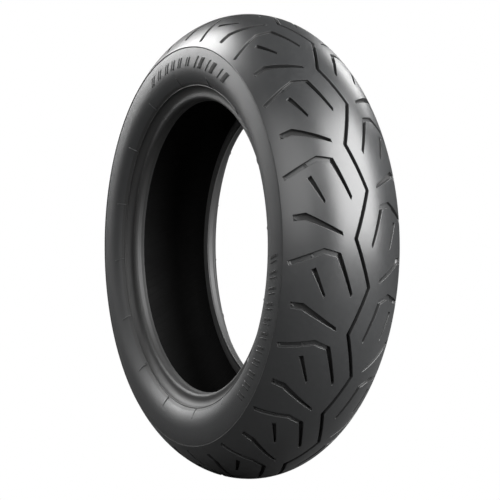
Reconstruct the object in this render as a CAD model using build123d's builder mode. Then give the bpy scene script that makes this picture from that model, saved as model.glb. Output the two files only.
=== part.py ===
from build123d import *
import math
import os

os.makedirs("parts", exist_ok=True)

# Rear motorcycle tire, 170/70-16 class, not mounted on a rim.
# Spin axis is +Y, +Z is up, origin in the middle of the tire. Millimetres.

# ---- overall size -------------------------------------------------------
od = 644.4                # outside diameter over the crown
half_width = 88.0         # half of the widest section, at mid sidewall
max_width_r = 249.8       # radius at which the section is widest
seat_r = 202.8            # bead seat radius, 16 inch code rim (405.6 dia)
heel_y = 66.5             # outer face of the bead above the heel

# ---- tread outer surface: two tangent arcs each side --------------------
crown_r1 = 93.76          # arc radius over the middle
crown_r2 = 115.8          # arc radius out to the shoulder
crown_blend = 28.0        # angle where the arcs meet, degrees
shoulder_angle = 56.2     # surface angle at the edge of the tread
shoulder_step = 1.3       # step down from tread edge to sidewall

# ---- casing line: outer face of the outer carcass ply -------------------
cap_over_casing = 12.9    # tread, base and belts together at the centre
casing_r1 = 92.0
casing_blend = 50.0
casing_half_width = 82.5
casing_low_r = 12.75      # turn-in radius below the widest point
casing_low_angle = 138.0  # slope of the ply line down to the bead
neck_r = 10.0             # reverse bend above the bead
neck_z = 211.7

# ---- layer thicknesses --------------------------------------------------
ply_t = 1.1
belt_t = 1.2
base_t = 1.5
liner_t = 1.5
chafer_t = 0.8

# ---- bead bundle --------------------------------------------------------
wire_d = 0.96
wire_pitch = 1.05
wire_cols = 4
wire_rows = 4
wrap_t = 0.4
bundle_clear = 0.05
loop_corner = 1.5

# ---- tread pattern ------------------------------------------------------
pitch_long = 21.38        # degrees, eight pitches
pitch_count_long = 8
pitch_count_short = 9
pitch_short = (360.0 - pitch_count_long * pitch_long) / pitch_count_short
first_vertex = 87.45      # angle of the first left vertex, long pitches follow
zig_amp = 10.4            # centre groove swings this far each side
zig_w = 4.3               # centre groove width measured along the axis
depth_mid = 7.0           # groove depth on the centre line
depth_quarter = 5.8       # depth 46 mm out
depth_edge = 4.2          # depth 90 mm out
depth_shallow = 3.1       # depth of the raised floor in the bent groove


def n_at(phi):
    a = math.radians(phi)
    return (math.sin(a), math.cos(a))


# chain pieces are (centre y, centre r, signed radius, angle0, angle1) for an
# arc and (y, r, y, r, angle) for a straight run; offset d is toward the air side
R0 = od / 2
c1 = (0.0, R0 - cap_over_casing - casing_r1)
nb = n_at(casing_blend)
casing_r3 = (casing_half_width - casing_r1 * nb[0]) / (1 - nb[0])
c3 = (c1[0] + (casing_r1 - casing_r3) * nb[0], c1[1] + (casing_r1 - casing_r3) * nb[1])
c4 = (casing_half_width - casing_low_r, c3[1])

bundle_w = wire_pitch * (wire_cols - 1) + wire_d
bundle_h = wire_pitch * (wire_rows - 1) + wire_d
core_in_y = heel_y - 9.35
core_out_y = core_in_y + bundle_w + 2 * (wrap_t + bundle_clear)
core_low_r = seat_r + 2 * ply_t + chafer_t + 0.8
k_in = (core_in_y + loop_corner, core_low_r + loop_corner)
k_out = (core_out_y - loop_corner, core_low_r + loop_corner)

# slope of the straight run is set so it is tangent to both bends
nl = n_at(casing_low_angle)
c5 = (core_in_y + neck_r, neck_z)


def tangent_gap(phi):
    n = n_at(phi)
    h4 = n[0] * c4[0] + n[1] * c4[1] + casing_low_r
    h5 = n[0] * c5[0] + n[1] * c5[1] - neck_r
    return h4 - h5


lo, hi = 100.0, 170.0
for _ in range(60):
    mid = (lo + hi) / 2
    if (tangent_gap(mid) > 0) == (tangent_gap(lo) > 0):
        lo = mid
    else:
        hi = mid
slope = (lo + hi) / 2
ns = n_at(slope)
p4 = (c4[0] + casing_low_r * ns[0], c4[1] + casing_low_r * ns[1])
p5 = (c5[0] - neck_r * ns[0], c5[1] - neck_r * ns[1])
turn_r = 15.0
turn_angle = -55.0
c11 = (core_out_y + turn_r, neck_z)
nt = n_at(turn_angle)
p11 = (c11[0] + turn_r * nt[0], c11[1] + turn_r * nt[1])
up = (nt[1], -nt[0])      # direction of travel up the turn-up

A1, A3, A4, LN, A5, LI, K1, LB, K2, LO, A11, LT = range(12)
chain = [
    ("arc", c1, casing_r1, 0.0, casing_blend),
    ("arc", c3, casing_r3, casing_blend, 90.0),
    ("arc", c4, casing_low_r, 90.0, slope),
    ("line", p4, p5, slope),
    ("arc", c5, -neck_r, slope, 90.0),
    ("line", (core_in_y, neck_z), (core_in_y, k_in[1]), 90.0),
    ("arc", k_in, -loop_corner, 90.0, 0.0),
    ("line", (k_in[0], core_low_r), (k_out[0], core_low_r), 0.0),
    ("arc", k_out, -loop_corner, 0.0, -90.0),
    ("line", (core_out_y, k_out[1]), (core_out_y, neck_z), -90.0),
    ("arc", c11, turn_r, -90.0, turn_angle),
    ("line", p11, (p11[0] + 30 * up[0], p11[1] + 30 * up[1]), turn_angle),
]


def arc_pt(seg, phi, d):
    n = n_at(phi)
    return (seg[1][0] + (seg[2] - d) * n[0], seg[1][1] + (seg[2] - d) * n[1])


def line_pt(seg, t, d):
    n = n_at(seg[3])
    (y0, z0), (y1, z1) = seg[1], seg[2]
    length = math.hypot(y1 - y0, z1 - z0)
    return (y0 + (y1 - y0) * t / length - d * n[0],
            z0 + (z1 - z0) * t / length - d * n[1])


def chain_pt(station, d, path=None):
    i, v = station
    seg = (path or chain)[i]
    return arc_pt(seg, v, d) if seg[0] == "arc" else line_pt(seg, v, d)


def run(s0, s1, d, path=None):
    """curve pieces along the chain from station s0 to s1 at offset d"""
    path = path or chain
    out = []
    for i in range(s0[0], s1[0] + 1):
        seg = path[i]
        if seg[0] == "arc":
            a = s0[1] if i == s0[0] else seg[3]
            b = s1[1] if i == s1[0] else seg[4]
            if abs(a - b) > 1e-9:
                out.append(("a", arc_pt(seg, a, d), arc_pt(seg, (a + b) / 2, d), arc_pt(seg, b, d)))
        else:
            length = math.hypot(seg[2][0] - seg[1][0], seg[2][1] - seg[1][1])
            a = s0[1] if i == s0[0] else 0.0
            b = s1[1] if i == s1[0] else length
            if abs(a - b) > 1e-9:
                out.append(("l", line_pt(seg, a, d), line_pt(seg, b, d)))
    return out


def back(pieces):
    return [(p[0],) + tuple(reversed(p[1:])) for p in reversed(pieces)]


def flip(pieces):
    """mirror to the other side and reverse"""
    return back([(p[0],) + tuple((-q[0], q[1]) for q in p[1:]) for p in pieces])


def path_line(*pts):
    return [("l", pts[i], pts[i + 1]) for i in range(len(pts) - 1)]


def both_sides(pieces):
    """a run that starts on the centre line, continued through to the left"""
    first = pieces[0]
    left = flip(pieces[1:])
    return left + [("a", (-first[3][0], first[3][1]), first[1], first[3])] + pieces[1:]


def draw(pieces):
    for p in pieces:
        if p[0] == "a":
            ThreePointArc(p[1], p[2], p[3])
        else:
            Line(p[1], p[2])


def closed(pieces):
    """close the loop with a straight line if its ends do not meet"""
    a, b = pieces[-1][-1], pieces[0][1]
    if math.hypot(a[0] - b[0], a[1] - b[1]) > 1e-6:
        pieces = pieces + [("l", a, b)]
    return pieces


def band(s_end, d_far, d_near):
    """a full-width layer between two offsets, ending square at s_end"""
    far = both_sides(run((A1, 0.0), s_end, d_far))
    near = both_sides(run((A1, 0.0), s_end, d_near))
    return far + path_line(far[-1][-1], near[-1][-1]) + back(near)


# ---- outer surface ------------------------------------------------------
o1 = (0.0, R0 - crown_r1)
nbk = n_at(crown_blend)
o2 = (o1[0] + (crown_r1 - crown_r2) * nbk[0], o1[1] + (crown_r1 - crown_r2) * nbk[1])
outer = [
    ("arc", o1, crown_r1, 0.0, crown_blend),
    ("arc", o2, crown_r2, crown_blend, shoulder_angle),
]
edge = chain_pt((1, shoulder_angle), 0.0, outer)
ne = n_at(shoulder_angle)

# sidewall: one arc above and one below the widest point
step_in = (edge[0] - 0.55, edge[1] - shoulder_step - 0.5)
dy = half_width - step_in[0]
dz = step_in[1] - max_width_r
upper_r = (dy * dy + dz * dz) / (2 * dy)
rim_line = (74.8, 221.2)
dyl = half_width - rim_line[0]
dzl = max_width_r - rim_line[1]
lower_r = (dyl * dyl + dzl * dzl) / (2 * dyl)


def low_pt(z):
    """point of the lower sidewall arc at radius z"""
    return (half_width - lower_r + math.sqrt(lower_r ** 2 - (max_width_r - z) ** 2), z)


ridge_hi, ridge_lo = rim_line[1] + 0.8, rim_line[1] - 0.9
splice_out = low_pt(ridge_hi + 3.2)
heel_r = 4.7
heel_c = (heel_y - heel_r, seat_r + heel_r)
land_in = heel_c[0] - 5.0            # inner end of the cylindrical land
toe = (land_in - 3.7, seat_r - 2.15)

# ---- casing -------------------------------------------------------------
# the filler tip is where the outer turn-up face meets the ply line
h_line = ns[0] * p4[0] + ns[1] * p4[1]
q = line_pt(chain[LT], 0.0, ply_t)
t_tip = (h_line - (ns[0] * q[0] + ns[1] * q[1])) / (ns[0] * up[0] + ns[1] * up[1])
tip = line_pt(chain[LT], t_tip, ply_t)
line_len = math.hypot(p5[0] - p4[0], p5[1] - p4[1])
tip_at = math.hypot(tip[0] - p4[0], tip[1] - p4[1])
ply_out_end = (LT, 0.3 * t_tip)
ply_in_end = (LT, t_tip - 2.0)
chafer_end = (LT, 0.55 * t_tip)
inner_stop = (LN, line_len - 1.0)

with BuildPart() as carcass_ply_outer:
    with BuildSketch(Plane.YZ):
        with BuildLine():
            draw(closed(band(ply_out_end, ply_t, 0.0)))
        make_face()
    revolve(axis=Axis.Y)
carcass_ply_outer.part.label = "carcass_ply_outer"
export_step(carcass_ply_outer.part, "parts/carcass_ply_outer.step")

with BuildPart() as carcass_ply_inner:
    with BuildSketch(Plane.YZ):
        with BuildLine():
            draw(closed(band(ply_in_end, 2 * ply_t, ply_t)))
        make_face()
    revolve(axis=Axis.Y)
carcass_ply_inner.part.label = "carcass_ply_inner"
export_step(carcass_ply_inner.part, "parts/carcass_ply_inner.step")

with BuildPart() as inner_liner:
    with BuildSketch(Plane.YZ):
        with BuildLine():
            draw(closed(band(inner_stop, 2 * ply_t + liner_t, 2 * ply_t)))
        make_face()
    revolve(axis=Axis.Y)
inner_liner.part.label = "inner_liner"
export_step(inner_liner.part, "parts/inner_liner.step")

# ---- belts --------------------------------------------------------------
belt_in_end, belt_out_end, strip_end = 46.0, 42.0, 49.0

with BuildPart() as belt_ply_inner:
    with BuildSketch(Plane.YZ):
        with BuildLine():
            draw(closed(band((A1, belt_in_end), 0.0, -belt_t)))
        make_face()
    revolve(axis=Axis.Y)
belt_ply_inner.part.label = "belt_ply_inner"
export_step(belt_ply_inner.part, "parts/belt_ply_inner.step")

with BuildPart() as belt_ply_outer:
    with BuildSketch(Plane.YZ):
        with BuildLine():
            draw(closed(band((A1, belt_out_end), -belt_t, -2 * belt_t)))
        make_face()
    revolve(axis=Axis.Y)
belt_ply_outer.part.label = "belt_ply_outer"
export_step(belt_ply_outer.part, "parts/belt_ply_outer.step")

# soft strip that fills the stepped belt edge
strip = (run((A1, belt_in_end), (A1, strip_end), 0.0)
         + path_line(chain_pt((A1, strip_end), 0.0), chain_pt((A1, strip_end), -2 * belt_t))
         + back(run((A1, belt_out_end), (A1, strip_end), -2 * belt_t))
         + path_line(chain_pt((A1, belt_out_end), -2 * belt_t), chain_pt((A1, belt_out_end), -belt_t))
         + run((A1, belt_out_end), (A1, belt_in_end), -belt_t)
         + path_line(chain_pt((A1, belt_in_end), -belt_t), chain_pt((A1, belt_in_end), 0.0)))
with BuildPart() as belt_edge_strip_right:
    with BuildSketch(Plane.YZ):
        with BuildLine():
            draw(strip)
        make_face()
    revolve(axis=Axis.Y)
belt_edge_strip_right.part.label = "belt_edge_strip_right"
export_step(belt_edge_strip_right.part, "parts/belt_edge_strip_right.step")

with BuildPart() as belt_edge_strip_left:
    mirror(belt_edge_strip_right.part, about=Plane.XZ)
belt_edge_strip_left.part.label = "belt_edge_strip_left"
export_step(belt_edge_strip_left.part, "parts/belt_edge_strip_left.step")

# ---- tread base ---------------------------------------------------------
base_far, base_near = 2 * belt_t, 2 * belt_t + base_t
with BuildPart() as tread_base:
    with BuildSketch(Plane.YZ):
        with BuildLine():
            draw(closed(band((A1, strip_end), -base_far, -base_near)))
        make_face()
    revolve(axis=Axis.Y)
tread_base.part.label = "tread_base"
export_step(tread_base.part, "parts/tread_base.step")

# ---- bead bundle --------------------------------------------------------
wire_y0 = core_in_y + wrap_t + bundle_clear + wire_d / 2
wire_z0 = core_low_r + wrap_t + bundle_clear + wire_d / 2
with BuildPart() as bead_core_right:
    with BuildSketch(Plane.YZ):
        for i in range(wire_cols):
            for j in range(wire_rows):
                with Locations((wire_y0 + i * wire_pitch, wire_z0 + j * wire_pitch)):
                    Circle(wire_d / 2)
    revolve(axis=Axis.Y)
bead_core_right.part.label = "bead_core_right"
export_step(bead_core_right.part, "parts/bead_core_right.step")

with BuildPart() as bead_core_left:
    mirror(bead_core_right.part, about=Plane.XZ)
bead_core_left.part.label = "bead_core_left"
export_step(bead_core_left.part, "parts/bead_core_left.step")

# fabric wrap, a rounded box section open by a narrow slit on top
wrap_top = core_low_r + bundle_h + 2 * (wrap_t + bundle_clear)
wi, wo = core_in_y, core_out_y
mid_y = (wi + wo) / 2
slit = 0.15
r_in = loop_corner - wrap_t


def rounded(y0, y1, z0, z1, rad_low, rad_top):
    """left half then right half of a rounded box, from the slit round to the slit"""
    k = math.sqrt(0.5)
    return (
        [("l", (mid_y - slit, z1), (y0 + rad_top, z1)),
         ("a", (y0 + rad_top, z1), (y0 + rad_top * (1 - k), z1 - rad_top * (1 - k)), (y0, z1 - rad_top)),
         ("l", (y0, z1 - rad_top), (y0, z0 + rad_low)),
         ("a", (y0, z0 + rad_low), (y0 + rad_low * (1 - k), z0 + rad_low * (1 - k)), (y0 + rad_low, z0)),
         ("l", (y0 + rad_low, z0), (y1 - rad_low, z0)),
         ("a", (y1 - rad_low, z0), (y1 - rad_low * (1 - k), z0 + rad_low * (1 - k)), (y1, z0 + rad_low)),
         ("l", (y1, z0 + rad_low), (y1, z1 - rad_top)),
         ("a", (y1, z1 - rad_top), (y1 - rad_top * (1 - k), z1 - rad_top * (1 - k)), (y1 - rad_top, z1)),
         ("l", (y1 - rad_top, z1), (mid_y + slit, z1))])


wrap_out = rounded(wi, wo, core_low_r, wrap_top, loop_corner, 0.6)
wrap_in = rounded(wi + wrap_t, wo - wrap_t, core_low_r + wrap_t, wrap_top - wrap_t,
                  0.25, 0.2)
with BuildPart() as bead_wrap_right:
    with BuildSketch(Plane.YZ):
        with BuildLine():
            draw(wrap_out + path_line(wrap_out[-1][-1], wrap_in[-1][-1])
                 + back(wrap_in) + path_line(wrap_in[0][1], wrap_out[0][1]))
        make_face()
    revolve(axis=Axis.Y)
bead_wrap_right.part.label = "bead_wrap_right"
export_step(bead_wrap_right.part, "parts/bead_wrap_right.step")

with BuildPart() as bead_wrap_left:
    mirror(bead_wrap_right.part, about=Plane.XZ)
bead_wrap_left.part.label = "bead_wrap_left"
export_step(bead_wrap_left.part, "parts/bead_wrap_left.step")

# ---- bead filler: hard rubber wedge on top of the bundle ----------------
filler = (back(run((LN, tip_at), (LI, 0.0), 0.0))
          + path_line(tip, chain_pt(ply_out_end, ply_t), chain_pt(ply_out_end, 0.0))
          + back(run((A11, -90.0), ply_out_end, 0.0))
          + path_line((core_out_y, neck_z), wrap_out[7][1])
          + [wrap_out[7]]
          + path_line(wrap_out[7][-1], wrap_out[1][1])
          + [wrap_out[1]]
          + path_line(wrap_out[1][-1], (core_in_y, neck_z)))
with BuildPart() as bead_filler_right:
    with BuildSketch(Plane.YZ):
        with BuildLine():
            draw(filler)
        make_face()
    revolve(axis=Axis.Y)
bead_filler_right.part.label = "bead_filler_right"
export_step(bead_filler_right.part, "parts/bead_filler_right.step")

with BuildPart() as bead_filler_left:
    mirror(bead_filler_right.part, about=Plane.XZ)
bead_filler_left.part.label = "bead_filler_left"
export_step(bead_filler_left.part, "parts/bead_filler_left.step")

# ---- chafer: woven strip round the bead ---------------------------------
d_ply, d_chafer, d_liner = 2 * ply_t, 2 * ply_t + chafer_t, 2 * ply_t + liner_t
chafer_in = run(inner_stop, chafer_end, d_ply)
chafer_out = run(inner_stop, chafer_end, d_chafer)
with BuildPart() as chafer_right:
    with BuildSketch(Plane.YZ):
        with BuildLine():
            draw(closed(chafer_in + path_line(chafer_in[-1][-1], chafer_out[-1][-1])
                        + back(chafer_out)))
        make_face()
    revolve(axis=Axis.Y)
chafer_right.part.label = "chafer_right"
export_step(chafer_right.part, "parts/chafer_right.step")

with BuildPart() as chafer_left:
    mirror(chafer_right.part, about=Plane.XZ)
chafer_left.part.label = "chafer_left"
export_step(chafer_left.part, "parts/chafer_left.step")

# ---- rim strip: hard rubber from the toe, round the heel, to the rim line
k45 = math.sqrt(0.5)
face_top = (heel_y, heel_c[1] + 2.6)
ledge = low_pt(ridge_lo)
fy, fz = ledge[0] - face_top[0], ledge[1] - face_top[1]
flange_r = (fy * fy + fz * fz) / (2 * fy)
flange_c = (face_top[0] + flange_r, face_top[1])
fa = math.atan2(fz, flange_r - fy) / 2
flange_mid = (flange_c[0] - flange_r * math.cos(fa), flange_c[1] + flange_r * math.sin(fa))
rn = ((rim_line[0] - (half_width - lower_r)) / lower_r, (rim_line[1] - max_width_r) / lower_r)
ridge_top = (rim_line[0] + 0.8 * rn[0], rim_line[1] + 0.8 * rn[1])
low_mid = low_pt((ridge_hi + splice_out[1]) / 2)
inner_down = run(inner_stop, (LI, neck_z - k_in[1]), d_liner)
rim_section = (inner_down
               + path_line(inner_down[-1][-1], (toe[0], toe[1] + 1.6), toe,
                           (land_in, seat_r), (heel_c[0], seat_r))
               + [("a", (heel_c[0], seat_r),
                   (heel_c[0] + heel_r * k45, heel_c[1] - heel_r * k45), (heel_y, heel_c[1]))]
               + path_line((heel_y, heel_c[1]), face_top)
               + [("a", face_top, flange_mid, ledge)]
               + [("a", ledge, ridge_top, low_pt(ridge_hi))]
               + [("a", low_pt(ridge_hi), low_mid, splice_out)]
               + path_line(splice_out, chafer_out[-1][-1])
               + back(chafer_out)
               + path_line(chafer_out[0][1], inner_down[0][1]))
with BuildPart() as rim_strip_right:
    with BuildSketch(Plane.YZ):
        with BuildLine():
            draw(rim_section)
        make_face()
    revolve(axis=Axis.Y)
rim_strip_right.part.label = "rim_strip_right"
export_step(rim_strip_right.part, "parts/rim_strip_right.step")

with BuildPart() as rim_strip_left:
    mirror(rim_strip_right.part, about=Plane.XZ)
rim_strip_left.part.label = "rim_strip_left"
export_step(rim_strip_left.part, "parts/rim_strip_left.step")

# ---- sidewall -----------------------------------------------------------
tongue_end = (A3, 58.0)
tongue = chain_pt(tongue_end, -base_near)


def wall_pt(z, radius):
    return (half_width - radius + math.sqrt(radius ** 2 - (z - max_width_r) ** 2), z)


widest = (half_width, max_width_r)
side_section = (
    [("a", step_in, wall_pt((step_in[1] + max_width_r) / 2, upper_r), widest),
     ("a", widest, wall_pt((splice_out[1] + max_width_r) / 2, lower_r), splice_out)]
    + path_line(splice_out, chafer_out[-1][-1], chafer_in[-1][-1])
    + run(chafer_end, ply_in_end, d_ply)
    + path_line(chain_pt(ply_in_end, d_ply), chain_pt(ply_in_end, ply_t), tip)
    + back(run((A1, strip_end), (LN, tip_at), 0.0))
    + path_line(chain_pt((A1, strip_end), 0.0), chain_pt((A1, strip_end), -base_near))
    + run((A1, strip_end), tongue_end, -base_near)
    + path_line(tongue, step_in))
with BuildPart() as sidewall_right:
    with BuildSketch(Plane.YZ):
        with BuildLine():
            draw(side_section)
        make_face()
    revolve(axis=Axis.Y)
sidewall_right.part.label = "sidewall_right"
export_step(sidewall_right.part, "parts/sidewall_right.step")

with BuildPart() as sidewall_left:
    mirror(sidewall_right.part, about=Plane.XZ)
sidewall_left.part.label = "sidewall_left"
export_step(sidewall_left.part, "parts/sidewall_left.step")

# ---- tread grooves ------------------------------------------------------
arc_mid = crown_r1 * math.radians(crown_blend)


def crown(a, d=0.0):
    """section point and surface angle at distance a along the crown"""
    if a <= arc_mid:
        phi = math.degrees(a / crown_r1)
        return arc_pt(outer[0], phi, d) + (phi,)
    phi = crown_blend + math.degrees((a - arc_mid) / crown_r2)
    return arc_pt(outer[1], phi, d) + (phi,)


def crown_station(a):
    return (0, math.degrees(a / crown_r1)) if a <= arc_mid else \
        (1, crown_blend + math.degrees((a - arc_mid) / crown_r2))


# main groove floor: one shallow arc, deepest on the centre line
f_end = crown(90.0, depth_edge)
f_y, f_h = f_end[0], (R0 - depth_mid) - f_end[1]
floor_r = (f_y * f_y + f_h * f_h) / (2 * f_h)
floor_c = (0.0, R0 - depth_mid - floor_r)


def floor_pt(y):
    return (y, floor_c[1] + math.sqrt(floor_r ** 2 - y * y))


def floor_arc(y):
    return [("a", (0.0, R0 - depth_mid), floor_pt(y / 2), floor_pt(y))]


def ring_region(half):
    """everything outside a groove floor, used to give grooves their depth"""
    pieces = both_sides(half)
    y_end, top = pieces[-1][-1][0], R0 + 14
    return pieces + path_line(pieces[-1][-1], (y_end, top), (-y_end, top), pieces[0][1])


with BuildPart() as room_main:
    with BuildSketch(Plane.YZ):
        with BuildLine():
            draw(ring_region(floor_arc(f_end[0])))
        make_face()
    revolve(axis=Axis.Y)

# bent groove: raised floor inboard, a step, then a ramp out at the shoulder
step_a, ramp_a, out_a = 65.0, 91.8, 96.6
half = (run((0, 0.0), crown_station(step_a), depth_shallow, outer)
        + path_line(crown(step_a, depth_shallow)[:2], crown(step_a, depth_edge)[:2])
        + run(crown_station(step_a), crown_station(ramp_a), depth_edge, outer)
        + path_line(crown(ramp_a, depth_edge)[:2], crown(out_a, -0.6)[:2]))
with BuildPart() as room_bent:
    with BuildSketch(Plane.YZ):
        with BuildLine():
            draw(ring_region(half))
        make_face()
    revolve(axis=Axis.Y)

# side groove: main floor, ramped out short of the shoulder
side_in = floor_pt(crown(83.2, 4.6)[0])
half = floor_arc(side_in[0]) + path_line(side_in, crown(88.4, -0.6)[:2])
with BuildPart() as room_side:
    with BuildSketch(Plane.YZ):
        with BuildLine():
            draw(ring_region(half))
        make_face()
    revolve(axis=Axis.Y)


def stake(a, u, side, d):
    """point d below the tread surface, straight in from (a, u)"""
    y, z, phi = crown(a, d)
    t = math.radians(u)
    return Vector(z * math.cos(t), side * y, z * math.sin(t))


def prism(outline, side, scale, room):
    """groove cutter from corners given as (distance from centre, degrees);
    every corner runs straight into the tread, so legs that share two corners meet exactly"""
    tops = [stake(a, u * scale, side, -3.0) for a, u in outline]
    lows = [stake(a, u * scale, side, 9.0) for a, u in outline]
    n = len(outline)
    faces = []
    for i in range(n):
        j = (i + 1) % n
        faces.append(Face.make_surface_from_curves(Edge.make_line(tops[i], tops[j]),
                                                   Edge.make_line(lows[i], lows[j])))
    for ring in (tops, lows):
        for i in range(1, n - 1):
            faces.append(Face(Wire.make_polygon([ring[0], ring[i], ring[i + 1]])))
    block = Solid(Shell(faces))
    if block.volume < 0:
        block = Solid(Shell([-f for f in faces]))
    with BuildPart() as tool:
        add(block)
        add(room, mode=Mode.INTERSECT)
    return tool.part.solids()


def slab(angle0, side0, angle1, side1):
    """one straight leg of the centre groove, between two vertices"""
    with BuildPart() as leg:
        for ang, sd in ((angle0, side0), (angle1, side1)):
            t = math.radians(ang)
            radial = (math.cos(t), 0, math.sin(t))
            tangent = (-math.sin(t), 0, math.cos(t))
            with BuildSketch(Plane(origin=(0, 0, 0), x_dir=radial, z_dir=tangent)):
                # local y runs along tangent x radial, which is the tire axis
                with Locations((R0 - 1, sd * zig_amp)):
                    Rectangle(18, zig_w)
        loft(ruled=True)
        add(room_main.part, mode=Mode.INTERSECT)
    return leg.part.solids()


bent_outer = [(96.6, -5.3), (50.2, -2.0), (50.3, -3.35), (94.2, -6.45)]
bent_link = [(50.2, -2.0), (30.0, -3.1), (34.4, -4.0), (50.3, -3.35)]
bent_inner = [(30.0, -3.1), (12.4, -12.0), (14.1, -12.9), (34.4, -4.0)]
slot = [(65.4, -7.0), (60.1, -6.5), (46.3, -12.7), (47.8, -13.35)]
side_outer = [(88.4, -15.35), (71.5, -15.1), (72.9, -16.8), (88.6, -16.85)]
side_inner = [(71.5, -15.1), (27.9, -19.8), (26.6, -20.7), (72.9, -16.8)]


def pitch_tools(pitch):
    k = pitch / pitch_long
    left, right = [], []
    for side, bag in ((-1, left), (1, right)):
        bag += prism(bent_outer, side, k, room_bent.part)
        bag += prism(bent_link, side, k, room_bent.part)
        bag += prism(bent_inner, side, k, room_main.part)
        bag += prism(slot, side, k, room_main.part)
        bag += prism(side_outer, side, k, room_side.part)
        bag += prism(side_inner, side, k, room_main.part)
    # centre groove legs: left vertex at 0, right at -pitch/2, left at -pitch
    mid = slab(0.0, -1, -pitch / 2, 1) + slab(-pitch / 2, 1, -pitch, -1)
    return left, right, mid


tools = []
sets = {True: pitch_tools(pitch_long), False: pitch_tools(pitch_short)}
angle = first_vertex
for i in range(pitch_count_long + pitch_count_short):
    is_long = i < pitch_count_long
    pitch = pitch_long if is_long else pitch_short
    left, right, mid = sets[is_long]
    for s in left + mid:
        tools.append(s.rotate(Axis.Y, -angle))
    for s in right:
        tools.append(s.rotate(Axis.Y, -(angle - pitch / 2)))
    angle -= pitch

cap_low = both_sides(run((A1, 0.0), tongue_end, -base_near))
cap_top = both_sides(run((0, 0.0), (1, shoulder_angle), 0.0, outer))
cap_section = (cap_top + path_line(edge, step_in, tongue) + back(cap_low)
               + path_line((-tongue[0], tongue[1]), (-step_in[0], step_in[1]), (-edge[0], edge[1])))
with BuildPart() as tread_cap:
    with BuildSketch(Plane.YZ):
        with BuildLine():
            draw(cap_section)
        make_face()
    revolve(axis=Axis.Y)
    add(tools, mode=Mode.SUBTRACT)
tread_cap.part.label = "tread_cap"
export_step(tread_cap.part, "parts/tread_cap.step")

print("slope", round(slope, 3), "tip", tip, "tools", len(tools))
for name, p in (("tread_cap", tread_cap), ("sidewall_right", sidewall_right),
                ("rim_strip_right", rim_strip_right)):
    b = p.part.bounding_box()
    print(name, len(p.part.solids()), round(p.part.volume), b.min, b.max)
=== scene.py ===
import math

import bpy
import numpy as np
from mathutils import Matrix, Vector
from mathutils.geometry import delaunay_2d_cdt


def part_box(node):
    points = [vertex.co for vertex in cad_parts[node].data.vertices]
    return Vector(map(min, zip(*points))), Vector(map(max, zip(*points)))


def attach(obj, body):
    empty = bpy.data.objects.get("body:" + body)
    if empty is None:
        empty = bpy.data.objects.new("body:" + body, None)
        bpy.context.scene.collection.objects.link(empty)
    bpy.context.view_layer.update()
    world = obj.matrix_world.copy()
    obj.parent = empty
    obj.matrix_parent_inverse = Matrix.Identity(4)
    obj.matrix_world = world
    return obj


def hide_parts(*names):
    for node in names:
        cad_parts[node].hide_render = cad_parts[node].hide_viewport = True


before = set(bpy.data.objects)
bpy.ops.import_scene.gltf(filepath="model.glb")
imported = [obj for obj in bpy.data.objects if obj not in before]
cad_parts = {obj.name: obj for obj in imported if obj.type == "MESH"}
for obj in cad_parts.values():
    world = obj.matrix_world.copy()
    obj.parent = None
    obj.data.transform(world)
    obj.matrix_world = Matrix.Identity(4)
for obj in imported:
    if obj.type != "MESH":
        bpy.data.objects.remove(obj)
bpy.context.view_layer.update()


# ---------------------------------------------------------------------------
# Inner liner: an air-tight skin of butyl rubber cured against an inflated
# bladder, which leaves fine slanted vent lines all round the hollow.

class Level:
    """one value that varies over a surface; plain arithmetic adds its Math nodes"""

    def __init__(self, paint, socket):
        self.paint, self.socket = paint, socket

    def __add__(self, other):
        return self.paint.maths("ADD", self, other)

    def __sub__(self, other):
        return self.paint.maths("SUBTRACT", self, other)

    def __mul__(self, other):
        return self.paint.maths("MULTIPLY", self, other)

    def __rsub__(self, other):
        return self.paint.maths("SUBTRACT", other, self)

    __radd__, __rmul__ = __add__, __mul__

    def wave(self):
        """its sine, brought to 0 to 1"""
        return self.paint.maths("SINE", self) * 0.5 + 0.5

    def within(self, low, high):
        """0 below low, 1 above high"""
        n = self.paint.node("ShaderNodeMapRange", {"interpolation_type": "SMOOTHSTEP"},
                            {"Value": self, "From Min": low, "From Max": high})
        return Level(self.paint, n.outputs["Result"])


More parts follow.
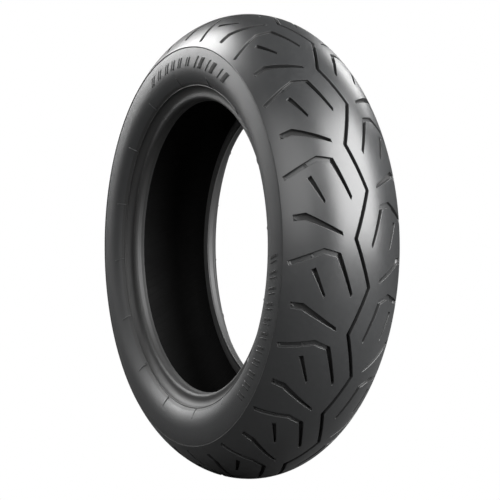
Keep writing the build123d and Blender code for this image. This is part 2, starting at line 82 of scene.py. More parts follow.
class Paint:
    """the nodes of one material, or of the world"""

    def __init__(self, name, kind=bpy.data.materials):
        self.owner = kind.new(name)
        self.owner.use_nodes = True
        self.tree = self.owner.node_tree
        self.tree.nodes.clear()

    def node(self, kind, settings=None, sockets=None):
        n = self.tree.nodes.new(kind)
        for key, value in (settings or {}).items():
            setattr(n, key, value)
        for key, value in (sockets or {}).items():
            if isinstance(value, Level):
                value = value.socket
            if isinstance(value, bpy.types.NodeSocket):
                self.tree.links.new(value, n.inputs[key])
            else:
                n.inputs[key].default_value = value
        return n

    def maths(self, operation, *values):
        n = self.node("ShaderNodeMath", {"operation": operation}, dict(enumerate(values)))
        return Level(self, n.outputs[0])

    def place(self):
        return self.node("ShaderNodeTexCoord").outputs["Object"]

    def axes(self):
        n = self.node("ShaderNodeSeparateXYZ", {}, {0: self.place()})
        return [Level(self, s) for s in n.outputs]

    def noise(self, size, detail=2.0):
        """soft random cloud, with patches about size metres across"""
        n = self.node("ShaderNodeTexNoise", {"noise_dimensions": "3D"},
                      {"Vector": self.place(), "Scale": 1.0 / size, "Detail": detail})
        return Level(self, n.outputs[0])

    def blend(self, factor, low, high):
        """low where the factor is 0, high where it is 1"""
        n = self.node("ShaderNodeMix", {"data_type": "RGBA"}, {0: factor, 6: low, 7: high})
        return n.outputs[2]

    def surface(self, colour, roughness, height, depth, strength=1.0, **fixed):
        """the finished shader; height runs 0 to 1 over depth metres"""
        bump = self.node("ShaderNodeBump", {}, {"Strength": strength, "Distance": depth,
                                                "Height": height})
        sockets = {"Base Color": colour, "Roughness": roughness, "Normal": bump.outputs[0]}
        sockets.update({k.replace("_", " "): v for k, v in fixed.items()})
        shader = self.node("ShaderNodeBsdfPrincipled", {}, sockets)
        self.node("ShaderNodeOutputMaterial", {}, {"Surface": shader.outputs[0]})
        return self.owner


def grey(value, warm=0.0):
    """a grey, a little brown if warm is above 0 and a little blue if below"""
    return (value * (1 + warm), value, value * (1 - warm), 1.0)


def polar(paint):
    """angle round the spin axis, distance from it and place along it"""
    x, y, z = paint.axes()
    return paint.maths("ARCTAN2", z, x), paint.maths("SQRT", x * x + z * z), y


def finish_node(name, material):
    """a CAD node that keeps its shape and takes this finish"""
    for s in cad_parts[name].material_slots:
        s.link = "OBJECT"
        s.material = material


def liner_skin():
    p = Paint("liner_rubber")
    turn, _, across = polar(p)
    vents = p.maths("SINE", turn * 150.0 + across * 260.0).within(0.9, 1.0)
    cloud = p.noise(0.04)
    fine = p.noise(0.0009)
    return p.surface(p.blend(cloud, grey(0.0015), grey(0.003)), 0.6 + cloud * 0.2,
                     vents * 0.6 + fine * 0.2, 0.0004, Specular_IOR_Level=0.12)


finish_node("inner_liner", liner_skin())


# ---------------------------------------------------------------------------
# Carcass plies: two layers of rubber-coated cord laid nearly radially, each
# crossing the other, turned up round the bead cores at both sides.

def cord_cloth(name, cords, slant, low, high):
    """parallel cords round the tire: how many, and how far they slant per metre across"""
    p = Paint(name)
    turn, _, across = polar(p)
    cord = (turn * float(cords) + across * slant).wave()
    twist = (turn * (cords * 0.25) - across * 5200.0).wave()
    cloud = p.noise(0.02)
    return p.surface(p.blend(cord * 0.7 + cloud * 0.3, low, high), 0.62 + cloud * 0.15,
                     cord * 0.8 + twist * 0.2, 0.0003)


PLY_CORDS, PLY_SLANT = 1500, 260.0
finish_node("carcass_ply_inner", cord_cloth(
    "ply_cord_inner", PLY_CORDS, PLY_SLANT, grey(0.012), grey(0.05, 0.08)))
finish_node("carcass_ply_outer", cord_cloth(
    "ply_cord_outer", PLY_CORDS, -PLY_SLANT, grey(0.012), grey(0.055, 0.08)))


# ---------------------------------------------------------------------------
# Beads: sixteen drawn-steel wires side by side in each edge, held in a rubbered
# wrap, with a hard rubber filler on top that tapers up into the sidewall.

def bead_steel():
    p = Paint("bead_wire")
    _, reach, _ = polar(p)
    drawn = p.noise(0.0006) * 0.5 + (reach * 42000.0).wave() * 0.5
    tarnish = p.noise(0.006)
    return p.surface(p.blend(tarnish, (0.42, 0.36, 0.27, 1), (0.62, 0.52, 0.36, 1)),
                     0.28 + drawn * 0.25, drawn, 0.00004, Metallic=1.0)


def wrap_cloth(name, low, high, size):
    """square weave, one thread every size metres"""
    p = Paint(name)
    turn, reach, across = polar(p)
    weft = (turn * (1.3 / size)).wave()
    warp = ((reach + across) * (6.28 / size)).wave()
    cloud = p.noise(0.01)
    return p.surface(p.blend(weft * warp * 0.7 + cloud * 0.3, low, high), 0.7 + cloud * 0.15,
                     weft * 0.5 + warp * 0.5, 0.00025)


def plain_rubber(name, low, high, rough, grain):
    """unseen inner rubber: cloudy, with a grain this coarse"""
    p = Paint(name)
    cloud, fine = p.noise(0.03), p.noise(grain)
    return p.surface(p.blend(cloud * 0.7 + fine * 0.3, low, high), rough + fine * 0.15,
                     fine, 0.0002)


steel, wrap = bead_steel(), wrap_cloth("wrap_fabric", grey(0.02), grey(0.08, 0.1), 0.0011)
filler = plain_rubber("filler_rubber", grey(0.006), grey(0.014), 0.4, 0.0008)
chafer_cloth = wrap_cloth("chafer_fabric", grey(0.014), grey(0.05), 0.0016)
for side in ("left", "right"):
    finish_node("bead_core_" + side, steel)
    finish_node("bead_wrap_" + side, wrap)
    finish_node("bead_filler_" + side, filler)
    # the chafer is a woven strip folded round the finished bead
    finish_node("chafer_" + side, chafer_cloth)


# ---------------------------------------------------------------------------
# Belts: two plies of crossed cord under the tread, gum strips at their edges,
# and a cool-running base layer between them and the wearing rubber.

BELT_CORDS, BELT_SLANT = 1650, 900.0
for name, slant in (("inner", BELT_SLANT), ("outer", -BELT_SLANT)):
    finish_node("belt_ply_" + name, cord_cloth(
        "belt_cord_" + name, BELT_CORDS, slant, grey(0.014), grey(0.075, 0.12)))
gum = plain_rubber("gum_rubber", grey(0.008), grey(0.02), 0.5, 0.0012)
for side in ("left", "right"):
    finish_node("belt_edge_strip_" + side, gum)
finish_node("tread_base", plain_rubber("base_rubber", grey(0.006), grey(0.013), 0.5, 0.001))


# ---------------------------------------------------------------------------
# Rim strips: hard rubber from the toe round the heel and up to the fine raised
# line that shows whether the tire sits true on its rim. Turned smooth in the mould.

MM = 0.001
HALF_WIDTH, WIDEST_R = 88.0, 249.8
RIM_LINE = (74.8, 221.2)
SEAT_R, HEEL_Y, HEEL_RADIUS = 202.8, 66.5, 4.7
FLAT, TOE_IN, TOE_DROP = 5.0, 3.7, 2.15
SPLICE_R = 225.15       # the sidewall starts here
STEP_IN = (85.326, 271.604)


def arc_radius(dy, dz):
    """radius of an arc that leaves the widest point and ends dy in and dz along"""
    return (dy * dy + dz * dz) / (2 * dy)


LOWER_R = arc_radius(HALF_WIDTH - RIM_LINE[0], WIDEST_R - RIM_LINE[1])
UPPER_R = arc_radius(HALF_WIDTH - STEP_IN[0], STEP_IN[1] - WIDEST_R)


def side_at(r):
    """place and outward normal of the plain sidewall at radius r: y, ny, nr"""
    big = UPPER_R if r > WIDEST_R else LOWER_R
    c = HALF_WIDTH - big
    nr = (r - WIDEST_R) / big
    ny = math.sqrt(1 - nr * nr)
    return c + big * ny, ny, nr


def arc(centre, radius, start, end, steps):
    """points and outward normals along an arc, angles in degrees: y, r, ny, nr"""
    out = []
    for i in range(steps + 1):
        a = math.radians(start + (end - start) * i / steps)
        c, s = math.cos(a), math.sin(a)
        out.append((centre[0] + radius * c, centre[1] + radius * s, c, s))
    return out


class Skin:
    """collects points and faces, with a normal for each corner of each face"""

    def __init__(self):
        self.points, self.faces, self.normals = [], [], []
        self.count = 0

    def add(self, points, faces, normals):
        """normals: one per point"""
        points, faces = np.asarray(points, float), np.asarray(faces, int)
        self.points.append(points)
        self.faces.append(faces + self.count)
        self.normals.append(np.asarray(normals, float)[faces])
        self.count += len(points)

    def mesh(self, name):
        points = np.concatenate(self.points) * MM
        key = np.round(points * 1e7).astype(np.int64)
        _, first, where = np.unique(key, axis=0, return_index=True, return_inverse=True)
        where = where.reshape(-1)
        sizes = {f.shape[1] for f in self.faces}
        faces, normals = [], []
        for size in sorted(sizes):
            for f, n in zip(self.faces, self.normals):
                if f.shape[1] == size:
                    f = where[f]
                    ok = np.array([len(set(row)) == size for row in f.tolist()], bool)
                    faces += f[ok].tolist()
                    normals.append(n[ok].reshape(-1, 3))
        data = bpy.data.meshes.new(name)
        data.from_pydata(points[first].tolist(), [], faces)
        data.shade_smooth()
        data.normals_split_custom_set(np.concatenate(normals).tolist())
        data.validate()
        piece = bpy.data.objects.new(name, data)
        bpy.context.scene.collection.objects.link(piece)
        return piece


def turned(skin, line, side, steps=720):
    """revolves a line of (y, r, ny, nr); side is -1 for the left half"""
    line = np.array(line, float)
    t = np.arange(steps) * 2 * math.pi / steps
    y, r, ny, nr = (line[:, i][:, None] for i in range(4))
    c, s = np.cos(t)[None], np.sin(t)[None]
    one = np.ones_like(c)
    points = np.stack([r * c, side * y * one, r * s], -1).reshape(-1, 3)
    normals = np.stack([nr * c, side * ny * one, nr * s], -1).reshape(-1, 3)
    faces = []
    for i in range(len(line) - 1):
        if math.dist(line[i][:2], line[i + 1][:2]) < 1e-6:
            continue
        j = np.arange(steps)
        k = (j + 1) % steps
        a, b = i * steps, (i + 1) * steps
        quad = np.stack([a + j, a + k, b + k, b + j], 1)
        faces.append(quad if side > 0 else quad[:, ::-1])
    skin.add(points, np.concatenate(faces), normals)


def moulded(name, low, high, rough, lines, depth=0.00012):
    """outer rubber: faint cloudy bloom, fine mould grain, and turned lines in the mould"""
    p = Paint(name)
    _, reach, _ = polar(p)
    bloom, grain, pores = p.noise(0.055, 3.0), p.noise(0.0011), p.noise(0.00035)
    streak = (reach * 9500.0 + bloom * 5.0).wave()
    height = grain * 0.6 + pores * 0.4 + streak * lines
    tone = bloom * 0.6 + grain * 0.4
    return p.surface(p.blend(tone, low, high), rough + bloom * 0.1 + pores * 0.08,
                     height, depth, 0.5)


def strip_line():
    """outline of a rim strip: the liner's edge, toe, heel, flange seat and up to the splice"""
    heel_c = (HEEL_Y - HEEL_RADIUS, SEAT_R + HEEL_RADIUS)
    land_in = heel_c[0] - FLAT
    toe = (land_in - TOE_IN, SEAT_R - TOE_DROP)
    ledge_r = RIM_LINE[1] - 0.9
    ledge_y = side_at(ledge_r)[0]
    face_top = (HEEL_Y, heel_c[1] + 2.6)
    fy, fz = ledge_y - HEEL_Y, ledge_r - face_top[1]
    hollow = (fy * fy + fz * fz) / (2 * fy)
    sweep = math.degrees(math.atan2(fz, hollow - fy))
    line = [(toe[0] + 0.15, toe[1] + 3.2, -1.0, 0.0), (toe[0], toe[1] + 0.7, -1.0, 0.0)]
    line += [(toe[0] + 0.15, toe[1] + 0.15, -0.75, -0.66),
             (toe[0] + 0.7, toe[1] + 0.36, 0.3, -0.95)]
    line += [(land_in - 0.5, SEAT_R - 0.3, 0.45, -0.89), (land_in + 0.5, SEAT_R, 0.05, -1.0)]
    line += arc(heel_c, HEEL_RADIUS, -90, 0, 10)
    line += [(HEEL_Y, face_top[1] - 0.3, 1.0, 0.0)]
    line += [(face_top[0] + hollow - hollow * math.cos(math.radians(a)),
              face_top[1] + hollow * math.sin(math.radians(a)),
              math.cos(math.radians(a)), -math.sin(math.radians(a)))
             for a in (sweep * i / 14 for i in range(15))]
    # raised line: square-shouldered, 1 mm high
    for dr, h, lean in ((-0.65, 0.0, -1.4), (-0.5, 0.85, -1.2), (-0.3, 1.0, -0.2),
                        (0.2, 1.0, 0.2), (0.4, 0.85, 1.2), (0.55, 0.0, 1.4)):
        r = RIM_LINE[1] + dr
        y, ny, nr = side_at(r)
        k = math.hypot(ny - lean * nr, nr + lean * ny)
        line.append((y + h * ny, r + h * nr, (ny - lean * nr) / k, (nr + lean * ny) / k))
    for r in (222.2, 222.9, 223.7, 224.5, SPLICE_R - 0.05):
        y, ny, nr = side_at(r)
        line.append((y, r, ny, nr))
    # the strip's edge rolls under the sidewall at the splice
    y, ny, nr = side_at(SPLICE_R + 0.1)
    line.append((y - 0.12 * ny, SPLICE_R + 0.1, ny * 0.7, 0.7))
    return line


rim_finish = moulded("rim_rubber", grey(0.009), grey(0.015), 0.5, 0.5, 0.0001)
for side, sign in (("left", -1), ("right", 1)):
    skin = Skin()
    turned(skin, strip_line(), sign)
    strip = skin.mesh("rim_strip_skin_" + side)
    strip.data.materials.append(rim_finish)
    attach(strip, "root")
    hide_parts("rim_strip_" + side)


# ---------------------------------------------------------------------------
# Sidewalls: flexible rubber from the rim strips up to the tread's edge. Fine
# ribs run out from the rim line where air left the mould, and runs of plain
# slanted bars stand in low relief round the widest part.

def raised(skin, sign, r0, r1, t0, lean, width, height, soft=0.25, fade=False):
    """a low bar on the sidewall from radius r0 to r1, its foot at angle t0 degrees, leaning
    by lean degrees; its edges fall away over soft mm, and fade lets it die out at the far end"""
    parts = [i / 5 for i in range(6)]
    stations = [(r0 - soft, None)] + [(r0 + (r1 - r0) * part, part) for part in parts]
    stations += [(r1 + soft, None)]
    across = [(-width / 2 - soft, -0.12), (-width / 2, 0.7), (-width / 2 + soft, 1.0),
              (width / 2 - soft, 1.0), (width / 2, 0.7), (width / 2 + soft, -0.12)]
    points, normals = [], []
    for r, part in stations:
        y, ny, nr = side_at(r)
        middle = t0 + lean * (r - r0) / (r1 - r0)
        for w, lift in across:
            h = -0.1 if part is None else height * lift
            if fade and part is not None:
                h = height * lift * (1 - 0.85 * part) - 0.05 * part
            t = math.radians(middle) + w / r
            rr, yy = r + h * nr, y + h * ny
            points.append((rr * math.cos(t), sign * yy, rr * math.sin(t)))
            tilt = {-0.12: 0.8, 0.7: 0.6, 1.0: 0.12}[lift] * (1 if w > 0 else -1)
            end = 0.0 if part is not None and 0 < part < 1 else (-0.6 if r < (r0 + r1) / 2 else 0.6)
            v = np.array([nr * math.cos(t), sign * ny, nr * math.sin(t)])
            v += tilt * np.array([-math.sin(t), 0, math.cos(t)])
            v += end * np.array([ny * math.cos(t), -sign * nr, ny * math.sin(t)])
            normals.append(v / np.linalg.norm(v))
    n, faces = len(across), []
    for i in range(len(stations) - 1):
        for j in range(n - 1):
            quad = [i * n + j, i * n + j + 1, (i + 1) * n + j + 1, (i + 1) * n + j]
            faces.append(quad if sign > 0 else quad[::-1])
    skin.add(points, faces, normals)


RIB_ANGLES = [164.0 - 22.6 * i for i in range(16)]
RIB_FROM, RIB_TO, RIB_LEAN, RIB_WIDTH, RIB_HEIGHT, RIB_SOFT = 222.6, 235.0, 0.5, 1.5, 1.3, 0.3
BAR_HEIGHT, BOLD_HEIGHT = 0.6, 0.65
BAR_ZONE, BAR_LIFT = (244, 263), 0.3     # faces in here and this far out are on a bar
# runs of bars: angles of the feet, inner and outer radius, lean, height, and for each of
# the two bars of a pair its angle past the foot and its width
BAR_RUNS = (
    ((112.0, 107.0, 101.5, 97.0, 92.0, 86.5), 246.5, 259.0, -1.2, BAR_HEIGHT,
     ((0.0, 2.8), (1.5, 1.4))),
    ((78.5, 70.5, 62.0), 244.5, 261.0, -2.4, BOLD_HEIGHT, ((0.0, 9.0), (3.4, 2.4))),
    ([-3.0 - 4.5 * i for i in range(11)], 248.0, 261.5, 1.1, BAR_HEIGHT,
     ((0.0, 3.2), (-1.5, 1.5))),
)

SIDE_FROM, SIDE_RINGS = SPLICE_R + 0.15, 26
side_finish = moulded("sidewall_rubber", grey(0.015, -0.03), grey(0.026, -0.03), 0.42, 0.35)
bar_finish = moulded("bar_rubber", grey(0.003), grey(0.006), 0.78, 0.0)
for side, sign in (("left", -1), ("right", 1)):
    skin = Skin()
    line = [(side_at(SPLICE_R)[0] - 0.25, SPLICE_R - 0.05, 0.5, -0.86)]
    for i in range(SIDE_RINGS + 1):
        r = SIDE_FROM + (STEP_IN[1] - 0.35 - SIDE_FROM) * i / SIDE_RINGS
        y, ny, nr = side_at(r)
        line.append((y, r, ny, nr))
    # a fine gutter under the tread's edge
    line += [(85.30, 271.40, 0.85, 0.5), (84.95, 271.72, 0.3, -0.3), (84.8, 272.1, 0.9, 0.1)]
    turned(skin, line, sign)
    for t in RIB_ANGLES:
        raised(skin, sign, RIB_FROM, RIB_TO, t, RIB_LEAN, RIB_WIDTH, RIB_HEIGHT,
               RIB_SOFT, fade=True)
    # the right side carries the runs twice, half a turn apart
    for half_turn in (0.0, 180.0) if sign > 0 else (0.0,):
        for feet, r0, r1, lean, height, pair in BAR_RUNS:
            for t in feet:
                for past, width in pair:
                    raised(skin, sign, r0, r1, t + past + half_turn, lean, width, height)
    wall = skin.mesh("sidewall_skin_" + side)
    wall.data.materials.append(side_finish)
    wall.data.materials.append(bar_finish)
    for face in wall.data.polygons:
        y, r = abs(face.center.y) / MM, math.hypot(face.center.x, face.center.z) / MM
        if BAR_ZONE[0] < r < BAR_ZONE[1] and y - side_at(r)[0] > BAR_LIFT:
            face.material_index = 1
    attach(wall, "root")
    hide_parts("sidewall_" + side)


# ---------------------------------------------------------------------------
# Tread cap: one band of moulded rubber. Ribs in the mould leave the grooves, so
# each has leaning walls, rounded lips and a soft-cornered floor. Its edges end
# in a small step over the sidewalls.

# outer surface: two tangent arcs each side of the middle
TIRE_R = 322.2
CROWN_R1, CROWN_R2 = 93.76, 115.8
BLEND, SHOULDER = math.radians(28.0), math.radians(56.2)
ARC_MID = CROWN_R1 * BLEND
EDGE_A = ARC_MID + CROWN_R2 * (SHOULDER - BLEND)
CENTRE_1 = (0.0, TIRE_R - CROWN_R1)
CENTRE_2 = ((CROWN_R1 - CROWN_R2) * math.sin(BLEND),
            CENTRE_1[1] + (CROWN_R1 - CROWN_R2) * math.cos(BLEND))


def crown(a, d=0.0):
    """width, radius and surface angle at distance a from the middle, d below the surface"""
    s = -1.0 if a < 0 else 1.0
    a = abs(a)
    if a <= ARC_MID:
        f, c, r = a / CROWN_R1, CENTRE_1, CROWN_R1
    else:
        f, c, r = BLEND + (a - ARC_MID) / CROWN_R2, CENTRE_2, CROWN_R2
    return s * (c[0] + (r - d) * math.sin(f)), c[1] + (r - d) * math.cos(f), s * f


# eight longer pitches and nine shorter ones, so that the grooves never hum in step
PITCH = 21.38
LONG_COUNT, SHORT_COUNT = 8, 9
PITCH_SHORT = (360.0 - LONG_COUNT * PITCH) / SHORT_COUNT
FIRST_VERTEX = 87.45
ZIG_SWING, ZIG_WIDTH = 10.4, 4.3
ZIG_EASE = 0.35        # the cured rubber draws back from the cut width


def deep(a):
    """the full-depth floor: 7 mm in the middle, 4.2 mm at 90 out"""
    return 7.0 - 2.8 * (min(abs(a), 90.0) / 90.0) ** 1.25


def along(p, q, a):
    """point at distance a from the middle on the line p to q"""
    return a, p[1] + (q[1] - p[1]) * (a - p[0]) / (q[0] - p[0])


def groove(*corners):
    """corners (a, u, depth): distance out, degrees past the vertex, floor depth, which is
    the full depth where it is None"""
    return [(a, u, deep(a) if d is None else d, d is None) for a, u, d in corners]


SHALLOW, OUTER, NONE = 3.1, 4.2, 0.12
TOP = ((96.6, -5.3), (50.2, -2.0))
LOW = ((50.3, -3.35), (94.2, -6.45))
LEG_IN, LEG_OUT = ((30.0, -3.1), (12.4, -12.0)), ((34.4, -4.0), (14.1, -12.9))
BENT = groove((*TOP[0], NONE), (*along(*TOP, 94.2), OUTER), (*along(*TOP, 65.5), OUTER),
              (*along(*TOP, 64.8), SHALLOW), (*TOP[1], SHALLOW), (*LEG_IN[0], SHALLOW),
              (*along(*LEG_IN, 29.75), None), (*LEG_IN[1], None), (*LEG_OUT[1], None),
              (*along(*LEG_OUT, 34.1), None), (*LEG_OUT[0], SHALLOW), (*LOW[0], SHALLOW),
              (*along(*LOW, 64.8), SHALLOW), (*along(*LOW, 65.5), OUTER),
              (*along(*LOW, 91.8), OUTER), (*LOW[1], NONE))
SLOT = groove((65.4, -7.0, None), (60.1, -6.5, None), (46.3, -12.7, None), (47.8, -13.35, None))
SIDE = groove((88.4, -15.35, NONE), (86.6, -15.31, None), (71.5, -15.1, None),
              (27.9, -19.8, None), (26.6, -20.7, None), (72.9, -16.8, None),
              (86.8, -16.845, None), (88.6, -16.85, NONE))


def metric(a):
    """millimetres per degree round the tire"""
    return math.radians(1.0) * crown(a)[1]


def spread(outline, step):
    """points along a closed outline about step apart, corners kept, counter-clockwise"""
    turn = sum(p[0] * q[1] - q[0] * p[1] for p, q in zip(outline, outline[1:] + outline[:1]))
    if turn < 0:
        outline = outline[::-1]
    points = []
    for p, q in zip(outline, outline[1:] + outline[:1]):
        length = math.hypot(q[0] - p[0], (q[1] - p[1]) * metric(p[0]))
        k = max(1, round(length / step))
        for j in range(k):
            t = j / k
            a = p[0] + (q[0] - p[0]) * t
            d = deep(a) if j and p[3] and q[3] else p[2] + (q[2] - p[2]) * t
            points.append((a, p[1] + (q[1] - p[1]) * t, d))
    return points


def outward(points):
    """mitred direction away from the groove at each point of a loop, in mm"""
    out = []
    for i, (a, u, _) in enumerate(points):
        m = metric(a)
        p, q = points[i - 1], points[(i + 1) % len(points)]
        e0 = np.array([a - p[0], (u - p[1]) * m])
        e1 = np.array([q[0] - a, (q[1] - u) * m])
        e0 /= np.linalg.norm(e0)
        e1 /= np.linalg.norm(e1)
        b = np.array([e0[1] + e1[1], -e0[0] - e1[0]])
        out.append(b / max(float(b @ b) / 2.0, 0.6))
    return out


# wall profile of a groove: how far outside the drawn edge, how deep, and how far
# the surface has turned from the land into the wall
LIP = ((0.5, 0.0, 0.0), (0.2, 0.04, 30.0), (0.0, 0.24, 72.0))
LEAN, FOOT = math.tan(math.radians(4.0)), 0.6


def profile(depth):
    """every ring of a groove of this depth: offset, depth, turn"""
    s = min(1.0, depth / 1.4)
    foot = FOOT * s
    rings = [(o, d * s, t * s) for o, d, t in LIP]
    rings.append((-(depth - foot) * LEAN, depth - foot, 84.0 * s))
    rings.append((-(depth - foot) * LEAN - foot * 0.3, depth - foot * 0.3, 45.0 * s))
    rings.append((-(depth - foot) * LEAN - foot, depth, 0.0))
    return rings


def inside(x, y, loop):
    hit = False
    for p, q in zip(loop, loop[1:] + loop[:1]):
        if (p[1] > y) != (q[1] > y) and x < (q[0] - p[0]) * (y - p[1]) / (q[1] - p[1]) + p[0]:
            hit = not hit
    return hit


STRETCH = 5.4          # mm to a degree while laying out flat


def fill(points, loops, keep):
    """triangles over loose points and closed loops of (a, u); gives faces as input indices"""
    flat, edges = list(points), []
    for loop in loops:
        start, n = len(flat), len(loop)
        flat += loop
        edges += [(start + i, start + (i + 1) % n) for i in range(n)]
    _v, _e, tris, source, _oe, _of = delaunay_2d_cdt(
        [Vector((p[0], p[1] * STRETCH)) for p in flat], edges, [], 0, 1e-6)
    out = []
    for t in tris:
        t = [source[i][0] for i in t]
        cx = sum(flat[i][0] for i in t) / 3
        cy = sum(flat[i][1] for i in t) / 3
        if keep(cx, cy):
            out.append(t)
    return out


class Cell:
    """one pitch of one half of the tread, laid out by distance out and degrees round"""

    def __init__(self):
        self.spots, self.normals, self.faces, self.flat = [], [], [], []

    def put(self, a, u, d=0.0, turn=0.0, way=(0.0, 0.0)):
        """a point d deep whose surface is turned by turn degrees towards way"""
        y, r, f = crown(a, d)
        c, s = math.cos(math.radians(turn)), math.sin(math.radians(turn))
        self.spots.append((y, r, u))
        self.normals.append((math.sin(f) * c + math.cos(f) * way[0] * s,
                             math.cos(f) * c - math.sin(f) * way[0] * s, way[1] * s))
        return len(self.spots) - 1

    def face(self, corners, flat=False):
        self.faces.append(corners)
        self.flat.append(flat)

    def bands(self, rings, closed):
        for outer, inner in zip(rings, rings[1:]):
            n = len(outer)
            for i in range(n if closed else n - 1):
                j = (i + 1) % n
                self.face([outer[i], outer[j], inner[j]])
                self.face([outer[i], inner[j], inner[i]])

    def sink(self, outline):
        """one groove; gives the loop where it meets the land, as (a, u) and as points"""
        base = spread(outline, 3.4)
        ways = outward(base)
        rings, lip, floor = [], None, None
        for k in range(6):
            ring, flat = [], []
            for (a, u, depth), b in zip(base, ways):
                off, d, turn = profile(depth)[k]
                a2, u2 = a + b[0] * off, u + b[1] * off / metric(a)
                unit = b / np.linalg.norm(b)
                ring.append(self.put(a2, u2, d, turn, (-unit[0], -unit[1])))
                flat.append((a2, u2))
            rings.append(ring)
            lip, floor = lip or flat, flat
        self.bands(rings, True)
        for t in fill([], [floor], lambda x, y: inside(x, y, floor)):
            depths = [base[i][2] for i in t]
            self.face([rings[-1][i] for i in t], max(depths) - min(depths) > 0.25)
        return lip, rings[0]


LEGS = 12                 # stations along each leg of the centre groove
ROWS = 15                 # steps across one pitch's cut, from the zigzag to the shoulder
GRID, SPACING = 24, 5.2   # loose points inside the land
CLEAR = 2.4               # none of them closer than this to an edge
LEG_MM = PITCH / 2 * metric(0)
LEG_LONG = math.hypot(2 * ZIG_SWING, LEG_MM)
cell_u = [-PITCH * i / (2 * LEGS) for i in range(2 * LEGS + 1)]


def zig(u, off):
    """edge of the land beside the centre groove, off mm back from the drawn edge"""
    swing = abs((-u / PITCH) % 1.0 - 0.5) * 4 - 1
    return ZIG_SWING * swing + ZIG_WIDTH / 2 + ZIG_EASE + off * LEG_LONG / LEG_MM


def zig_way(i):
    """direction into the centre groove at station i"""
    if i % LEGS == 0:
        return -1.0, 0.0
    return -LEG_MM / LEG_LONG, (1 if i < LEGS else -1) * 2 * ZIG_SWING / LEG_LONG


def half_cell():
    """the centre groove's half, the land with its three grooves, and the shoulder"""
    cell = Cell()
    middle = profile(deep(0.0))
    rings = [[cell.put(zig(u, off), u, d, turn, zig_way(i)) for i, u in enumerate(cell_u)]
             for off, d, turn in middle]
    rings.append([cell.put(zig(u, 0.0) - ZIG_WIDTH / 2 - ZIG_EASE, u, deep(0.0)) for u in cell_u])
    for land, sunk in zip(rings, rings[1:]):
        for i in range(len(cell_u) - 1):
            cell.face([land[i], sunk[i], sunk[i + 1]])
            cell.face([land[i], sunk[i + 1], land[i + 1]])
    inner = [(zig(u, LIP[0][0]), u) for u in cell_u]
    out_a = EDGE_A - 0.8
    outer = [(out_a, u) for u in cell_u]
    across = [inner[0][0] + (out_a - inner[0][0]) * i / ROWS for i in range(1, ROWS)]
    border = inner + [(a, -PITCH) for a in across] + outer[::-1] + [(a, 0.0) for a in across[::-1]]
    marks = list(rings[0])
    marks += [cell.put(a, -PITCH) for a in across]
    edge = [cell.put(a, u) for a, u in outer]
    marks += edge[::-1] + [cell.put(a, 0.0) for a in across[::-1]]
    loops, loop_marks = [border], [marks]
    for outline in (BENT, SLOT, SIDE):
        flat, ring = cell.sink(outline)
        loops.append(flat)
        loop_marks.append(ring)
    fence = np.array([(p[0] + (q[0] - p[0]) * t, (p[1] + (q[1] - p[1]) * t) * STRETCH)
                      for loop in loops for p, q in zip(loop, loop[1:] + loop[:1])
                      for t in (0.0, 0.25, 0.5, 0.75)])

    def on_land(a, u):
        return inside(a, u, border) and not any(inside(a, u, loop) for loop in loops[1:])

    loose, loose_marks = [], []
    for i in range(GRID):
        for j in range(GRID):
            a = 1.0 + i * SPACING + (SPACING / 2 if j % 2 else 0.0) - 12.0
            u = -PITCH * (j + 0.5) / GRID
            gap = np.min(np.hypot(fence[:, 0] - a, fence[:, 1] - u * STRETCH))
            if gap > CLEAR and on_land(a, u):
                loose.append((a, u))
                loose_marks.append(cell.put(a, u))
    every = loose_marks + [m for ms in loop_marks for m in ms]
    for t in fill(loose, loops, on_land):
        cell.face([every[i] for i in t])
    # shoulder: rounded over, then down the step to the sidewall
    y0, r0, _ = crown(EDGE_A)
    rings = [edge]
    for y, r, turn in ((y0 - 0.16, r0 + 0.20, 8.0), (y0 + 0.02, r0 - 0.10, 30.0),
                       (y0 - 0.04, r0 - 0.36, 48.0),
                       (STEP_IN[0] + 0.06, STEP_IN[1] + 0.3, 52.0),
                       (STEP_IN[0] - 0.4, STEP_IN[1] - 0.1, 52.0)):
        ring = []
        for u in cell_u:
            ring.append(cell.put(EDGE_A, u, 0.0, turn, (1.0, 0.0)))
            cell.spots[-1] = (y, r, u)
        rings.append(ring)
    for land, low in zip(rings, rings[1:]):
        for i in range(len(cell_u) - 1):
            cell.face([land[i], land[i + 1], low[i + 1]])
            cell.face([land[i], low[i + 1], low[i]])
    return cell


cell = half_cell()
spots, cell_normals = np.array(cell.spots), np.array(cell.normals)
cell_faces, flat_faces = np.array(cell.faces), np.array(cell.flat)
pitches = [PITCH] * LONG_COUNT + [PITCH_SHORT] * SHORT_COUNT
band = Skin()
start = FIRST_VERTEX
for i, pitch in enumerate(pitches):
    following = pitches[(i + 1) % len(pitches)]
    for sign, first, upper, lower in ((-1, start, pitch / 2, pitch / 2),
                                      (1, start - pitch / 2, pitch / 2, following / 2)):
        t = -spots[:, 2] / PITCH
        down = np.where(t <= 0.5, t * 2 * upper, upper + (t * 2 - 1) * lower)
        turn = np.radians(first - down)
        c, s = np.cos(turn), np.sin(turn)
        y, r = spots[:, 0] * sign, spots[:, 1]
        ny, nr, nt = cell_normals[:, 0] * sign, cell_normals[:, 1], cell_normals[:, 2]
        points = np.stack([r * c, y, r * s], -1)
        normals = np.stack([nr * c - nt * s, ny, nr * s + nt * c], -1)
        faces = cell_faces if sign > 0 else cell_faces[:, ::-1]
        band.add(points, faces, normals)
        # steps and ramps in the floors stay crisp
        p = points[faces[flat_faces]]
        n = np.cross(p[:, 1] - p[:, 0], p[:, 2] - p[:, 0])
        n /= np.linalg.norm(n, axis=1)[:, None]
        band.normals[-1][flat_faces] = n[:, None]
    start -= pitch

tread = band.mesh("tread_band")


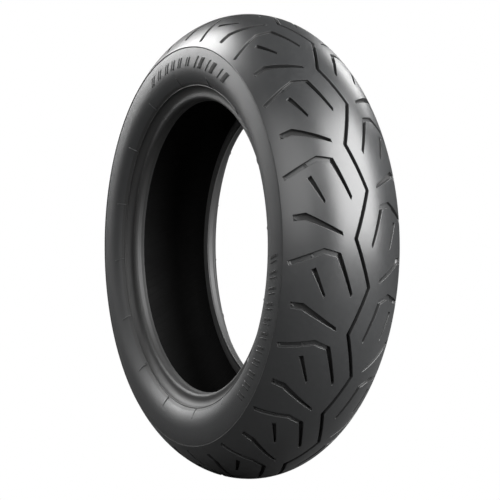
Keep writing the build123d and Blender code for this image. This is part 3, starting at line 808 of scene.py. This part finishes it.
def tread_rubber():
    """wearing rubber: dark satin, fine mould grain, greyer on the land than in the grooves, whose
    walls and deep floors carry painted shade
    """
    p = Paint("tread_rubber")
    _, reach, across = polar(p)
    bloom, grain, pores = p.noise(0.07, 3.0), p.noise(0.0013), p.noise(0.0004)
    patches = p.noise(0.006, 3.0)
    tone = bloom * 0.4 + patches * 0.4 + grain * 0.2
    skin = p.blend(tone, grey(0.010, -0.03), grey(0.019, -0.03))
    # how far a spot lies below the surface's two arcs: walls and the deepest floors get
    # painted shade and stay darker, while floors 3 to 4 mm down get almost none of that
    # painted shade
    wide = p.maths("ABSOLUTE", across)
    rise_1 = reach - CENTRE_1[1] * MM
    rise_2, out_2 = reach - CENTRE_2[1] * MM, wide - CENTRE_2[0] * MM
    top_1 = p.maths("SQRT", across * across + rise_1 * rise_1) - CROWN_R1 * MM
    top_2 = p.maths("SQRT", out_2 * out_2 + rise_2 * rise_2) - CROWN_R2 * MM
    outer_arc = wide.within(0.0435, 0.0445)
    drop = top_1 * (1 - outer_arc) + top_2 * outer_arc
    raised_floor = drop.within(-0.0047, -0.0043) * (1 - drop.within(-0.0029, -0.0025))
    # 1 where the rubber shows its own tone, 0 where painted shade darkens the groove walls and deep
    # floors
    clear_of_painted_shade = drop.within(-0.0007, -0.0002) + raised_floor * 0.8
    # the near-black grey is painted shade, blended in by depth below the surface
    return p.surface(p.blend(clear_of_painted_shade, grey(0.0022), skin),
                     0.72 - clear_of_painted_shade * 0.45 + bloom * 0.08 + patches * 0.1,
                     grain * 0.6 + pores * 0.4, 0.00013, 0.5)


tread.data.materials.append(tread_rubber())
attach(tread, "root")
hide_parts("tread_cap")


# ---------------------------------------------------------------------------
# Studio: a pale seamless floor, soft panels of light and a white surround.

TIRE_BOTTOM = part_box("tread_cap")[0][2]


def floor_paint():
    p = Paint("floor_paper")
    fine = p.noise(0.02)
    glow = p.node("ShaderNodeEmission", {}, {"Color": grey(1.0), "Strength": 1.0})
    paper = p.node("ShaderNodeBsdfPrincipled", {}, {
        "Base Color": p.blend(fine, grey(0.05), grey(0.06)), "Roughness": 0.9})
    seen = p.node("ShaderNodeLightPath")
    both = p.node("ShaderNodeMixShader", {}, {
        0: seen.outputs["Is Camera Ray"], 1: paper.outputs[0], 2: glow.outputs[0]})
    p.node("ShaderNodeOutputMaterial", {}, {"Surface": both.outputs[0]})
    return p.owner


def paper_floor():
    """one wide sheet, dead flat under the tire: this many squares, this far each way"""
    n, half = 24, 9.0
    points = [(half * (2 * i / n - 1), half * (2 * j / n - 1), 0.0)
              for i in range(n + 1) for j in range(n + 1)]
    faces = [(k, k + n + 1, k + n + 2, k + 1)
             for i in range(n) for k in range(i * (n + 1), i * (n + 1) + n)]
    data = bpy.data.meshes.new("floor")
    data.from_pydata(points, [], faces)
    floor = bpy.data.objects.new("floor", data)
    floor.location.z = TIRE_BOTTOM - 0.0002
    bpy.context.scene.collection.objects.link(floor)
    data.materials.append(floor_paint())
    return floor


paper_floor()


def panel(name, way, distance, size, power):
    """a soft rectangular light out along way, facing the middle of the tire"""
    lamp = bpy.data.lights.new(name, "AREA")
    lamp.shape, lamp.size, lamp.size_y = "RECTANGLE", size[0], size[1]
    lamp.energy = power
    holder = bpy.data.objects.new(name, lamp)
    way = Vector(way).normalized()
    holder.location = way * distance
    holder.rotation_euler = way.to_track_quat("Z", "Y").to_euler()
    bpy.context.scene.collection.objects.link(holder)


panel("key_light", (0.83, 0.36, 0.47), 2.0, (2.4, 2.0), 250.0)
panel("front_light", (0.45, -0.8, 0.42), 2.4, (1.9, 1.8), 46.0)
panel("top_light", (-0.75, -0.27, 0.61), 2.2, (0.9, 1.3), 50.0)
panel("side_light", (-0.88, -0.5, 0.38), 2.2, (0.9, 0.8), 17.0)
panel("rim_light", (-0.45, 1.0, 0.75), 2.6, (0.8, 0.8), 16.0)


def surround():
    """white to look at, dim as a source of light"""
    p = Paint("studio", bpy.data.worlds)
    seen = p.node("ShaderNodeLightPath")
    dim, bright = (p.node("ShaderNodeBackground", {}, {"Color": grey(1.0), "Strength": strength})
                   for strength in (0.05, 1.0))
    both = p.node("ShaderNodeMixShader", {}, {
        0: seen.outputs["Is Camera Ray"], 1: dim.outputs[0], 2: bright.outputs[0]})
    p.node("ShaderNodeOutputWorld", {}, {"Surface": both.outputs[0]})
    return p.owner


bpy.context.scene.world = surround()

# camera: a long lens, level with the axle, looking at the left side from ahead
CAM_TURN, CAM_UP, CAM_ROLL = math.radians(61.43), math.radians(0.36), math.radians(0.13)
CAM_FAR, CAM_RIGHT, CAM_RISE = 2.19713, 0.01566, -0.0048
LENS_MM, SENSOR_MM = 113.13, 36.0
back = Vector((math.sin(CAM_TURN) * math.cos(CAM_UP),
               -math.cos(CAM_TURN) * math.cos(CAM_UP), math.sin(CAM_UP)))
right = Vector((math.cos(CAM_TURN), math.sin(CAM_TURN), 0.0))
up = back.cross(right)
right, up = (right * math.cos(CAM_ROLL) + up * math.sin(CAM_ROLL),
             up * math.cos(CAM_ROLL) - right * math.sin(CAM_ROLL))
lens = bpy.data.cameras.new("camera")
lens.lens, lens.sensor_width = LENS_MM, SENSOR_MM
camera = bpy.data.objects.new("camera", lens)
spot = back * CAM_FAR + right * CAM_RIGHT + up * CAM_RISE
camera.matrix_world = Matrix((
    (right.x, up.x, back.x, spot.x), (right.y, up.y, back.y, spot.y),
    (right.z, up.z, back.z, spot.z), (0, 0, 0, 1)))
bpy.context.scene.collection.objects.link(camera)
bpy.context.scene.camera = camera
bpy.context.scene.view_settings.view_transform = "Standard"
